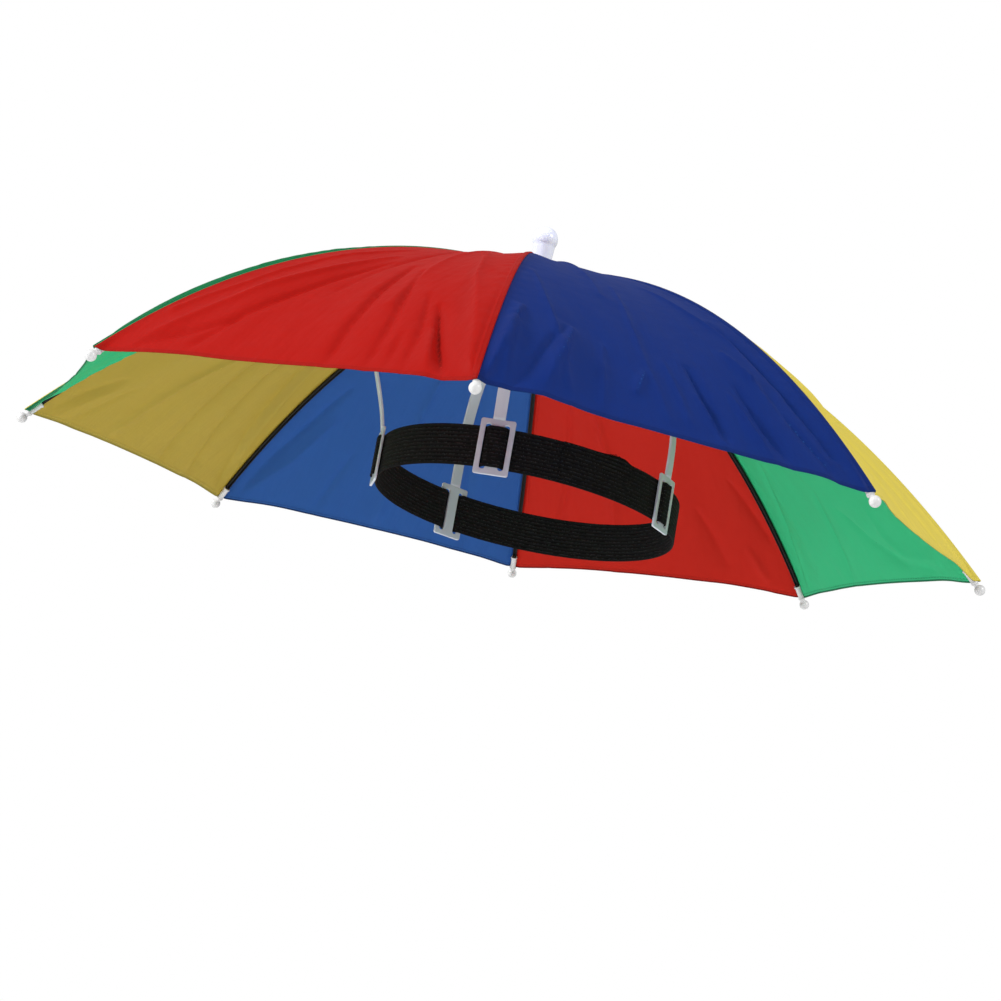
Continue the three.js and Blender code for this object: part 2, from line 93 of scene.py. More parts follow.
# Ribs and tips
rib_width = 2.8 * mm
rib_depth = 0.3 * mm
rib_wall = 0.7 * mm
ball_radius = 3.15 * mm
sleeve_radius = 2.2 * mm
sleeve_end = 14.5 * mm

# Headband, legs and buckles
band_half_length = 99.5 * mm
band_half_breadth = 83.3 * mm
band_height = 23.9 * mm
band_thickness = 1.2 * mm
band_tilt_back = math.radians(2.8)
band_tilt_side = math.radians(3.6)
leg_width = 7 * mm
leg_thickness = 1.8 * mm
leg_rise = 48 * mm
buckle_width = 19.8 * mm
buckle_height = 32.4 * mm
buckle_thickness = 1.4 * mm
buckle_corner = 1.2 * mm
buckle_side_bar = 3 * mm
buckle_end_bar = 3 * mm
slot_corner = 1.6 * mm
buckle_bevel = 0.25 * mm
weave_gap = 0.3 * mm
band_cords = 11
lap_turns = (55, 83.5)
lap_stations = 40
loop_stations = 480
lint_places = [(72.5, 0.6), (73.3, 0.7), (74, 0.8), (74.8, 0.9), (75.6, 1.0), (76.4, 1.1), (73, 0.5),
               (75.2, 0.9), (76.9, 1.1)]

# The camera, in the photograph's place
camera_place = Vector((0.9244, -1.0609, -0.2472))
camera_forward = Vector((-0.6558, 0.7358, 0.1690))
camera_up = Vector((-0.0311, -0.2500, 0.9677))
camera_lens = 86.5
floor_height = -0.6
floor_half = 2.2


# Making meshes
def make_piece(name, points, quads, material, triangles=(), uv_maps=None):
    """One mesh object at the origin from an array of points and arrays of corner numbers."""
    mesh = bpy.data.meshes.new(name)
    quads = np.asarray(quads, dtype=np.int32).reshape(-1, 4)
    triangles = np.asarray(triangles, dtype=np.int32).reshape(-1, 3)
    corners = np.concatenate([quads.ravel(), triangles.ravel()])
    starts = np.concatenate([np.arange(len(quads)) * 4, quads.size + np.arange(len(triangles)) * 3])
    mesh.vertices.add(len(points))
    mesh.vertices.foreach_set("co", np.asarray(points, dtype=np.float32).ravel())
    mesh.loops.add(len(corners))
    mesh.loops.foreach_set("vertex_index", corners)
    mesh.polygons.add(len(starts))
    mesh.polygons.foreach_set("loop_start", starts.astype(np.int32))
    mesh.polygons.foreach_set("use_smooth", np.ones(len(starts), dtype=bool))
    for uv_name, values in (uv_maps or {}).items():
        layer = mesh.uv_layers.new(name=uv_name)
        layer.data.foreach_set("uv", np.asarray(values, dtype=np.float32)[corners].ravel())
    mesh.update(calc_edges=True)
    mesh.validate()
    piece = bpy.data.objects.new(name, mesh)
    bpy.context.scene.collection.objects.link(piece)
    mesh.materials.append(material)
    return piece


def grid_quads(rows, columns, wrap_rows=False, wrap_columns=False, first=0):
    """Corner numbers of a grid's faces. They face along (row direction) x (column direction)."""
    i = np.arange(rows if wrap_rows else rows - 1)[:, None]
    j = np.arange(columns if wrap_columns else columns - 1)[None, :]
    i_next, j_next = (i + 1) % rows, (j + 1) % columns
    corners = [i * columns + j, i_next * columns + j, i_next * columns + j_next, i * columns + j_next]
    return np.stack(np.broadcast_arrays(*corners), axis=-1).reshape(-1, 4) + first


def shell(outer, inner):
    """Points and faces of the closed shell between two grids of the same shape, outer on top."""
    rows, columns = outer.shape[:2]
    count = rows * columns
    points = np.concatenate([outer.reshape(-1, 3), inner.reshape(-1, 3)])
    top = grid_quads(rows, columns)
    under = grid_quads(rows, columns, first=count)[:, ::-1]
    number = np.arange(count).reshape(rows, columns)
    rim = np.concatenate([number[:, 0], number[-1, 1:], number[-2::-1, -1], number[0, -2:0:-1]])
    after = np.roll(rim, -1)
    edge = np.stack([rim, rim + count, after + count, after], axis=-1)
    return points, np.concatenate([top, under, edge])


def end_lids(rows, columns, middle):
    """Triangles over both ends of a tube, to the middle points that have this number and the next."""
    here = np.arange(columns)
    after = (here + 1) % columns
    first = np.stack([after, here, np.full(columns, middle)], axis=-1)
    last = np.stack([here, after, np.full(columns, middle + 1)], axis=-1)
    last[:, :2] += (rows - 1) * columns
    return np.concatenate([first, last])


def turned(profile, sides):
    """Points, quads and triangles of a profile of (radius, height) pairs turned about Z, ends on the axis."""
    profile = np.asarray(profile, dtype=float)
    turn = np.arange(sides) * 2 * math.pi / sides
    ring = profile[1:-1]
    points = np.stack([ring[:, :1] * np.cos(turn), ring[:, :1] * np.sin(turn),
                       np.broadcast_to(ring[:, 1:], (len(ring), sides))], axis=-1).reshape(-1, 3)
    points = np.concatenate([points, [[0, 0, profile[0, 1]], [0, 0, profile[-1, 1]]]])
    quads = grid_quads(len(ring), sides, wrap_columns=True)[:, ::-1]
    return points, quads, end_lids(len(ring), sides, len(points) - 2)


def carried(path, across, up, outline, closed=False):
    """Points, quads and triangles of an outline carried along a path.

    outline holds (across, up) pairs, one set for all places or one for each, turning from across to up."""
    outline = np.broadcast_to(outline, (len(path),) + np.shape(outline)[-2:])
    points = path[:, None] + outline[..., :1] * across[:, None] + outline[..., 1:] * up[:, None]
    rows, columns = points.shape[:2]
    quads = grid_quads(rows, columns, wrap_rows=closed, wrap_columns=True)
    onward = np.dot(np.cross(across[0], up[0]), path[1] - path[0]) > 0
    if onward:
        quads = quads[:, ::-1]
    points = points.reshape(-1, 3)
    if closed:
        return points, quads, []
    lids = end_lids(rows, columns, len(points))
    return np.concatenate([points, path[:1], path[-1:]]), quads, lids if onward else lids[:, ::-1]


def joined(*bodies):
    """Several (points, quads, triangles) as one."""
    points, quads, triangles, first = [], [], [], 0
    for body in bodies:
        points.append(body[0])
        quads.append(np.asarray(body[1]).reshape(-1, 4) + first)
        triangles.append(np.asarray(body[2]).reshape(-1, 3) + first)
        first += len(body[0])
    return np.concatenate(points), np.concatenate(quads), np.concatenate(triangles)


def rounded_outline(width, height, corner, steps=4):
    """Corner points of a rectangle with round corners, turning from the first axis to the second."""
    turn = np.linspace(0, math.pi / 2, steps + 1)
    centres = [(1, 1), (-1, 1), (-1, -1), (1, -1)]
    rounds = []
    for quarter, (x, y) in enumerate(centres):
        angle = turn + quarter * math.pi / 2
        rounds.append(np.stack([x * (width / 2 - corner) + corner * np.cos(angle),
                                y * (height / 2 - corner) + corner * np.sin(angle)], axis=-1))
    return np.concatenate(rounds)


def unit(vectors):
    return vectors / np.linalg.norm(vectors, axis=-1, keepdims=True)


def smooth_step(x):
    t = np.clip(x, 0, 1)
    return t * t * (3 - 2 * t)


# Making materials
def new_material(name):
    material = bpy.data.materials.new(name)
    material.use_nodes = True
    tree = material.node_tree
    return material, tree, tree.nodes["Principled BSDF"]


def put(tree, socket, value):
    """Links the value to the socket, or sets it there."""
    if isinstance(value, bpy.types.NodeSocket):
        tree.links.new(value, socket)
    else:
        socket.default_value = value


def add_node(tree, kind, settings=None, **inputs):
    """A node with its settings, and its inputs set or linked."""
    node = tree.nodes.new(kind)
    for key, value in (settings or {}).items():
        setattr(node, key, value)
    set_inputs(tree, node, inputs)
    return node


def maths(tree, operation, *values):
    node = add_node(tree, "ShaderNodeMath", {"operation": operation})
    for socket, value in zip(node.inputs, values):
        put(tree, socket, value)
    return node.outputs[0]


def times(tree, first, second):
    return maths(tree, "MULTIPLY", first, second)


def blend_colours(tree, factor, first, second):
    node = add_node(tree, "ShaderNodeMix", {"data_type": "RGBA"})
    for number, value in ((0, factor), (6, first), (7, second)):
        put(tree, node.inputs[number], value)
    return node.outputs[2]


def set_inputs(tree, node, values):
    for name, value in values.items():
        put(tree, node.inputs[name], value)


def opaque(colour, share=1):
    return tuple(c * share for c in colour) + (1,)


def object_place(tree):
    return tree.nodes.new("ShaderNodeTexCoord").outputs["Object"]


def own_uv(tree, name):
    """One of the mesh's UV maps, as a place and as its two numbers."""
    place = add_node(tree, "ShaderNodeUVMap", {"uv_map": name}).outputs[0]
    return place, *add_node(tree, "ShaderNodeSeparateXYZ", Vector=place).outputs[:2]


def noise(tree, place, scale, detail, stretch=None):
    if stretch:
        place = add_node(tree, "ShaderNodeMapping", Vector=place, Scale=stretch).outputs[0]
    return add_node(tree, "ShaderNodeTexNoise", Vector=place, Scale=scale, Detail=detail).outputs["Fac"]


def bump(tree, height, distance, strength, under=None):
    node = add_node(tree, "ShaderNodeBump", Height=height, Distance=distance, Strength=strength)
    if under is not None:
        tree.links.new(under, node.inputs["Normal"])
    return node.outputs[0]


# Canopy curve: angle 0 is forward, and the angle grows towards the wearer's left
def outward_at(angle):
    angle = np.asarray(angle, dtype=float)
    return np.stack([np.sin(angle), -np.cos(angle), 0 * angle], axis=-1)


def sideways_at(angle):
    angle = np.asarray(angle, dtype=float)
    return np.stack([np.cos(angle), np.sin(angle), 0 * angle], axis=-1)


def rib_angle(number):
    return (number - 1) * panel_angle + math.radians(rib_rows[number - 1][0])


def curve_point(angle, radius, tip_rise=0, middle_rise=0):
    """Out by the radius, and up by crown * (1 - share ** power + tip rise + middle rise) at that share."""
    radius = np.asarray(radius, dtype=float)
    share = radius / tip_radius
    uneven = tip_rise * share ** 2 + middle_rise * np.sin(math.pi * share) ** 2
    points = outward_at(np.broadcast_to(angle, radius.shape)) * radius[..., None]
    points[..., 2] = crown_height * (1 - share ** profile_power + uneven)
    return points


def curve_normal(angle, radius, tip_rise=0, middle_rise=0):
    """The unit direction square to that curve, from its slope."""
    radius = np.asarray(radius, dtype=float)
    share = radius / tip_radius
    uneven = 2 * tip_rise * share + middle_rise * math.pi * np.sin(2 * math.pi * share)
    fall = crown_height / tip_radius * (profile_power * share ** (profile_power - 1) - uneven)
    vectors = outward_at(np.broadcast_to(angle, radius.shape)) * fall[..., None]
    vectors[..., 2] = 1
    return unit(vectors)


def rib_point(number, radius):
    return curve_point(rib_angle(number), radius, *rib_rows[number - 1][1:])


def rib_normal(number, radius):
    return curve_normal(rib_angle(number), radius, *rib_rows[number - 1][1:])


def rib_sideways(number, radius):
    return sideways_at(np.full(np.shape(radius), rib_angle(number)))


def canopy_direction(vectors):
    return vectors @ np.array(Matrix.Rotation(canopy_turn, 3, "Z")).T


def in_canopy(points):
    """Points of the canopy's own frame, turned and moved to the canopy's place over the headband."""
    return canopy_direction(points) + canopy_centre


# Main folds of each panel: across at the crown and at the hem, start, depth over the hem's sag, breadth
fold_rows = {
    1: [(-0.78, -0.5, 0.25, 0.3, 0.16), (0.62, 0.8, 0.45, -0.42, 0.13),
        (0.1, 0.3, 0.5, 0.2, 0.2)],
    2: [(-0.85, -0.66, 0.4, 0.42, 0.13), (-0.5, -0.36, 0.5, -0.3, 0.14),
        (0.55, 0.72, 0.2, 0.3, 0.14)],
    3: [(-0.75, -0.7, 0.1, 0.35, 0.15), (0.5, 0.66, 0.4, 0.3, 0.15)],
    4: [(-0.6, -0.72, 0.4, 0.34, 0.14), (0.66, 0.56, 0.35, -0.34, 0.15)],
    5: [(-0.66, -0.5, 0.45, 0.34, 0.14), (0.5, 0.74, 0.35, -0.36, 0.14)],
    6: [(-0.74, -0.6, 0.35, -0.34, 0.14), (0.42, 0.62, 0.45, 0.34, 0.15)],
    7: [(-0.56, -0.7, 0.4, 0.36, 0.14), (0.7, 0.6, 0.3, -0.3, 0.14)],
    8: [(-0.62, -0.48, 0.4, -0.34, 0.15), (0.8, 0.84, 0.05, 0.45, 0.13)],
}

# Creases of each panel: height, below nothing where it sinks, and reach to the first and second rib's side,
# before the two factors above. Then the places (across, share) on its line.
crease_rows = {
    1: [(0.8, 8, 4, (-0.3, 0.5), (-0.48, 0.67), (-0.66, 0.82), (-0.82, 0.97)),
        (-0.9, 3, 5, (-0.22, 0.56), (-0.38, 0.74), (-0.49, 0.87), (-0.53, 0.97)),
        (-0.7, 3, 6, (-0.46, 0.88), (-0.62, 0.93), (-0.8, 0.98)),
        (0.7, 2.2, 2.2, (-0.5, 0.4), (-0.74, 0.6), (-0.82, 0.76), (-0.92, 0.88)),
        (-1.0, 2.4, 6, (0.03, 0.58), (0.1, 0.74), (0.16, 0.87), (0.22, 0.99)),
        (-0.9, 2.4, 5, (0.2, 0.62), (0.34, 0.8), (0.4, 0.9), (0.43, 1)),
        (-0.6, 2, 5, (0.49, 0.89), (0.52, 0.98)),
        (-0.8, 2.2, 6, (0.46, 0.74), (0.58, 0.88), (0.61, 0.99)),
        (-1.9, 3, 6, (0.58, 0.78), (0.71, 0.91), (0.82, 1)),
        (1.0, 5, 2.5, (0.65, 0.86), (0.74, 0.99)),
        (1.4, 6, 14, (0.5, 0.42), (0.72, 0.66), (0.9, 0.86), (0.95, 0.99)),
        (-0.5, 3, 5, (-0.1, 0.3), (-0.16, 0.55), (-0.2, 0.75)),
        (0.5, 4, 4, (0.3, 0.2), (0.24, 0.5), (0.28, 0.8))],
    2: [(1.3, 8, 3, (-0.87, 0.76), (-0.93, 0.9), (-0.96, 0.98)),
        (1.2, 5, 4, (-0.88, 0.82), (-0.9, 0.9), (-0.88, 0.99)),
        (1.5, 14, 5, (-0.53, 0.79), (-0.63, 0.91), (-0.68, 1)),
        (-1.1, 3, 5, (-0.58, 0.79), (-0.72, 0.9), (-0.84, 1)),
        (0.8, 1.8, 2, (-0.88, 0.56), (-0.74, 0.71), (-0.64, 0.83), (-0.54, 1)),
        (0.9, 2.4, 2.4, (-0.35, 0.8), (-0.39, 0.99)),
        (0.6, 2.2, 2.6, (-0.06, 0.5), (-0.1, 0.72), (-0.09, 0.83), (-0.04, 0.97)),
        (0.9, 2, 2, (-0.1, 0.85), (-0.19, 0.92)),
        (0.7, 2, 3, (0.03, 0.8), (0.07, 0.96)),
        (-1.4, 2.4, 4, (0.19, 0.8), (0.22, 0.89), (0.24, 0.97)),
        (0.8, 2, 3, (0.17, 0.88), (0.2, 0.94), (0.25, 1)),
        (1.1, 3, 3, (0.4, 0.85), (0.43, 0.94), (0.49, 1)),
        (-1.2, 3, 4, (0.48, 0.82), (0.52, 0.92), (0.58, 1)),
        (-1.6, 4, 5, (0.62, 0.8), (0.72, 0.9), (0.82, 1)),
        (1.3, 5, 3, (0.55, 0.72), (0.66, 0.84), (0.8, 0.96)),
        (-1.4, 3, 6, (0.7, 0.6), (0.8, 0.78), (0.88, 0.94)),
        (0.6, 2.5, 2.5, (0.46, 0.42), (0.6, 0.58), (0.74, 0.7), (0.8, 0.82)),
        (0.5, 4, 4, (-0.5, 0.15), (-0.3, 0.4), (-0.26, 0.6))],
    3: [(0.6, 9, 18, (-0.78, 0.3), (-0.74, 0.7), (-0.7, 0.98)),
        (0.5, 4, 5, (-0.5, 0.3), (-0.62, 0.6), (-0.8, 0.97)),
        (-0.6, 3, 6, (-0.2, 0.45), (-0.3, 0.72), (-0.34, 0.99)),
        (0.5, 3, 4, (0.1, 0.5), (0.16, 0.78), (0.12, 1)),
        (-0.5, 4, 4, (0.4, 0.55), (0.52, 0.8), (0.6, 1)),
        (0.5, 4, 5, (0.66, 0.6), (0.78, 0.82), (0.88, 0.98))],
    4: [(0.7, 5, 7, (-0.08, 0.82), (-0.25, 0.9), (-0.42, 0.945), (-0.66, 0.965)),
        (-0.6, 5, 5, (-0.44, 0.83), (-0.43, 0.9), (-0.52, 0.94), (-0.74, 0.955)),
        (0.7, 4, 5, (0.02, 0.78), (0.15, 0.89), (0.22, 0.98)),
        (-0.6, 4, 4, (0.74, 0.86), (0.86, 0.97)),
        (0.8, 4, 4, (0.56, 0.7), (0.8, 0.86), (0.88, 0.97)),
        (-0.7, 5, 5, (-0.1, 0.3), (-0.2, 0.55), (-0.24, 0.75))],
    5: [(0.9, 2.5, 3, (-0.8, 0.74), (-0.86, 0.81), (-0.92, 0.88)),
        (-0.7, 4, 4, (-0.73, 0.9), (-0.78, 0.95), (-0.83, 1)),
        (0.8, 4, 4, (-0.44, 0.82), (-0.53, 0.94)),
        (-0.8, 5, 5, (0.3, 0.5), (0.2, 0.75), (0.24, 0.98)),
        (0.9, 4, 4, (0.55, 0.55), (0.62, 0.8), (0.74, 0.99))],
    6: [(0.9, 4, 6, (0.74, 0.66), (0.8, 0.8), (0.87, 0.91), (0.9, 0.99)),
        (-0.7, 4, 4, (0.64, 0.76), (0.73, 0.88), (0.85, 0.96)),
        (0.7, 2.5, 2.5, (0.37, 0.82), (0.41, 0.98)),
        (-0.7, 5, 5, (0.1, 0.4), (0.04, 0.7), (0.0, 0.97)),
        (0.9, 4, 4, (-0.4, 0.5), (-0.5, 0.75), (-0.62, 0.98))],
    7: [(-1.0, 3, 3, (0.12, 0.58), (0.19, 0.72), (0.27, 0.8), (0.31, 0.88), (0.34, 0.98)),
        (1.1, 6, 4, (-0.02, 0.55), (-0.07, 0.74), (-0.14, 0.86), (-0.22, 0.97)),
        (1.2, 8, 3.2, (-0.2, 0.5), (-0.33, 0.73), (-0.47, 0.88), (-0.57, 0.99)),
        (1.0, 4, 8, (-0.55, 0.5), (-0.66, 0.69), (-0.78, 0.85), (-0.92, 0.98)),
        (-0.7, 4, 4, (-0.66, 0.6), (-0.78, 0.76), (-0.88, 0.9)),
        (0.6, 3, 4, (0.7, 0.86), (0.88, 0.98)),
        (-0.5, 3, 4, (0.66, 0.88), (0.8, 0.99)),
        (0.5, 3, 4, (0.55, 0.86), (0.68, 0.99))],
    8: [(0.9, 4, 4, (0.55, 0.35), (0.66, 0.65), (0.74, 0.97)),
        (-1.2, 3, 5, (-0.5, 0.5), (-0.6, 0.75), (-0.74, 0.98)),
        (0.9, 4, 4, (-0.15, 0.5), (-0.2, 0.75), (-0.16, 0.98)),
        (-0.9, 4, 4, (0.2, 0.6), (0.26, 0.8), (0.22, 1)),
        (0.85, 16, 9, (0.85, 0.32), (0.86, 0.55), (0.9, 1.04))],
}


def fold_height(panel, share, across):
    """Bell-shaped ridges and valleys that run down the panel and grow from their start to the hem."""
    height = np.zeros_like(share)
    held = 1 - hem_hold * smooth_step((share - hem_hold_start) / (1 - hem_hold_start))
    for at_crown, at_hem, starts, depth, breadth in fold_rows[panel]:
        line = at_crown + (at_hem - at_crown) * share
        reach = smooth_step((share - starts) / (1 - starts))
        height += depth * hem_sag * reach * np.exp(-((across - line) / breadth) ** 2)
    return height * held * (1 - across ** 8)


def cloth_middle(panel, share, across):
    """The plain cloth: the straight line between two ribs at the same radius, let down by the sag."""
    radius = cloth_reach * share
    ends = [rib_point(number, radius) + rib_normal(number, radius) * cloth_lift
            for number in (panel, panel % panel_count + 1)]
    part = ((1 + across) / 2)[..., None]
    points = ends[0] * (1 - part) + ends[1] * part
    middle = (panel - 0.5) * panel_angle
    hang = hem_rows[panel - 1][1]
    sag = (belly_sag * np.sin(math.pi * share) + hem_sag * hang * share) * (1 - across ** 2)
    points = points - curve_normal(middle, radius) * sag[..., None]
    through = curve_normal(middle + across * panel_angle / 2, radius)
    return points + through * fold_height(panel, share, across)[..., None]


def half_chord(share):
    return cloth_reach * share * math.sin(panel_angle / 2)


def laid_flat(share, across):
    return across * half_chord(share), share * panel_length


# Slow waves: height, radians a metre across and down, then the bend's depth, turns and shift, and the shift
slow_waves = [(0.3 * mm, 95, 0, 2.2, 14, 1, 1), (0.18 * mm, 210, -32, 1.5, 23, -1, 2)]
seam_places = np.array([0, 0.35, 0.8, 1.5, 2.2, 2.7, 3.1, 3.5, 4, 4.8, 6, 8]) * mm
hem_places = np.array([0, 0.3, 0.8, 1.6, 2.2, 2.7, 3.1, 3.6, 4.6, 6, 8]) * mm
panel_rows = 158
panel_columns = 122


def panel_grid():
    """Shares down the panel and places across it: close rows by the hem, close columns by both seams."""
    near_hem = 1 - hem_places[::-1] / panel_length
    start = crown_hole / cloth_reach
    share = np.concatenate([np.linspace(start, near_hem[0], panel_rows)[:-1], near_hem])
    half = half_chord(share)[:, None]
    shrink = np.minimum(1, 0.42 * half / seam_places[-1])
    strip = 1 - seam_places[None, :] * shrink / half
    inner = strip[:, -1:]
    centre = inner * np.linspace(-1, 1, panel_columns)[None, 1:-1]
    across = np.concatenate([-strip, centre, strip[:, ::-1]], axis=1)
    return np.broadcast_to(share[:, None], across.shape).copy(), across


def panel_distances(share, across):
    """How far each place is from the first seam, the second seam and the hem, in metres."""
    half = half_chord(share)
    return (1 + across) * half, (1 - across) * half, (1 - share) * panel_length


def crease_height(panel, share, across):
    """Each crease is highest on its line and falls off as exp(-distance / reach), which grows along it."""
    x, y = laid_flat(share, across)
    height = np.zeros_like(share)
    for depth, first_reach, second_reach, *places in crease_rows[panel]:
        line = np.array([laid_flat(s, a) for a, s in places])
        steps = np.diff(line, axis=0)
        lengths = np.linalg.norm(steps, axis=1)
        before = np.append(0, np.cumsum(lengths))
        nearest = np.full(share.shape, 1.0)
        along, aside = np.zeros_like(share), np.zeros_like(share)
        for (x0, y0), (dx, dy), length, run in zip(line, steps, lengths, before):
            part = np.clip(((x - x0) * dx + (y - y0) * dy) / length ** 2, 0, 1)
            gap = np.hypot(x - x0 - part * dx, y - y0 - part * dy)
            side = np.sign((x - x0) * dy - (y - y0) * dx)
            closer = gap < nearest
            nearest = np.where(closer, gap, nearest)
            along = np.where(closer, (run + part * length) / before[-1], along)
            aside = np.where(closer, side, aside)
        reach = np.where(aside > 0, second_reach, first_reach) * crease_reach * mm * (0.4 + 0.6 * along)
        fade = np.clip(4 * along * (1 - along), 0, 1) ** 0.5
        fade = np.where(along > 0.5, np.maximum(fade, 0.75 * smooth_step((along - 0.5) * 4)), fade)
        height += crease_depth * depth * mm * fade * np.exp(-np.sqrt(nearest ** 2 + (0.6 * mm) ** 2) / reach)
    return height


def ripple_height(panel, share, across):
    """Slow waves that run down the panel, and short puckers by the seams and the hem."""
    to_first, to_second, to_hem = panel_distances(share, across)
    x, y = laid_flat(share, across)
    phase = panel * 1.7
    slow = 0
    for height, across_turns, down_turns, bend, bend_turns, bend_shift, shift in slow_waves:
        bent = bend * np.sin(y * bend_turns + bend_shift * phase)
        slow = slow + height * np.sin(x * across_turns + y * down_turns + bent + shift * phase)
    slow *= smooth_step(share / 0.5) * (1 - across ** 6) * (1 - 0.6 * smooth_step((share - 0.85) / 0.15))
    pucker = 0
    for distance, shift in ((to_first, 0.0), (to_second, 1.3)):
        beat = np.sin(y * 2 * math.pi / (11 * mm) + 1.1 * np.sin(y * 61 + phase) + shift)
        pucker = pucker + 0.12 * mm * beat * np.exp(-((distance - 5 * mm) / (4 * mm)) ** 2)
    beat = np.sin(x * 2 * math.pi / (9.5 * mm) + 1.3 * np.sin(x * 47 + phase))
    pucker = pucker + 0.06 * mm * beat * np.exp(-((to_hem - 5 * mm) / (4 * mm)) ** 2)
    return slow + pucker


def corner_fall(share, across):
    """The cloth hangs down beside each sleeve, in a dip that dies away from the tip and from the seam."""
    to_first, to_second, to_hem = panel_distances(share, across)
    to_seam = np.minimum(to_first, to_second)
    beside = smooth_step(to_seam / (6 * mm)) * np.exp(-(np.maximum(to_seam - 6 * mm, 0) / (16 * mm)) ** 2)
    return corner_drop * beside * np.exp(-(to_hem / (15 * mm)) ** 2)


def seam_profile(distance, folded):
    """The step of a felled seam: folded cloth stands up over the seam's width, then a stitched groove."""
    if folded:
        raised = seam_height * (1 - smooth_step((distance - seam_width * 0.85) / (0.7 * mm)))
        raised *= smooth_step((distance + 0.4 * mm) / (0.8 * mm))
        groove = -0.16 * mm * np.exp(-((distance - seam_width - 1 * mm) / (0.7 * mm)) ** 2)
        return raised + groove
    return -0.3 * mm * np.exp(-(distance / (0.9 * mm)) ** 2)


def grid_normal(points):
    return unit(np.cross(np.gradient(points, axis=0), np.gradient(points, axis=1)))


def cloth_panel(panel, material):
    """One cloth panel: its outer face is the cloth's middle moved out by folds, creases, seam and hem."""
    share, across = panel_grid()
    to_first, to_second, to_hem = panel_distances(share, across)
    to_seam = np.minimum(to_first, to_second)
    start = crown_hole / cloth_reach
    drawn = hem_rows[panel - 1][0]
    hemmed = start + (share - start) * (1 - drawn * (1 - across ** 2))
    middle = cloth_middle(panel, hemmed, across)
    normal = grid_normal(middle)
    lift = crease_height(panel, hemmed, across) + ripple_height(panel, hemmed, across)
    keep = smooth_step(to_seam / (6 * mm)) * smooth_step((share - start) / 0.08)
    lift = lift * keep * (1 - 0.8 * smooth_step((share - 0.95) / 0.05)) - corner_fall(share, across)
    middle = middle + normal * lift[..., None]
    normal = grid_normal(middle)
    fade = smooth_step((share - start) / 0.05)
    over = seam_profile(to_second, True) + seam_profile(to_first, False)
    hem_step = hem_height * (1 - smooth_step((to_hem - hem_width + 0.5 * mm) / (0.8 * mm)))
    hem_step *= smooth_step((to_hem + 0.25 * mm) / (0.6 * mm))
    outer = middle + normal * (cloth_thickness / 2 + over * fade + hem_step * 0.4)[..., None]
    allowance = 0.3 * mm * (1 - smooth_step((to_seam - 3.4 * mm) / (0.6 * mm)))
    inner = middle - normal * (cloth_thickness / 2 + allowance * fade + hem_step)[..., None]
    points, quads = shell(in_canopy(outer), in_canopy(inner))
    weave = np.stack(laid_flat(share, across), axis=-1).reshape(-1, 2)
    edges = np.stack([to_seam, to_hem], axis=-1).reshape(-1, 2)
    faces = np.repeat([[0.0, 0.0], [1.0, 0.0]], len(weave), axis=0)
    colour = panel_colours[(panel - 1) % 4]
    piece = make_piece(f"cloth_{panel}_{colour}", points, quads, material, uv_maps={
        "weave": np.concatenate([weave, weave]), "edges": np.concatenate([edges, edges]), "faces": faces})
    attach(piece, "root")
    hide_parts(f"panel_{panel}_{colour}")


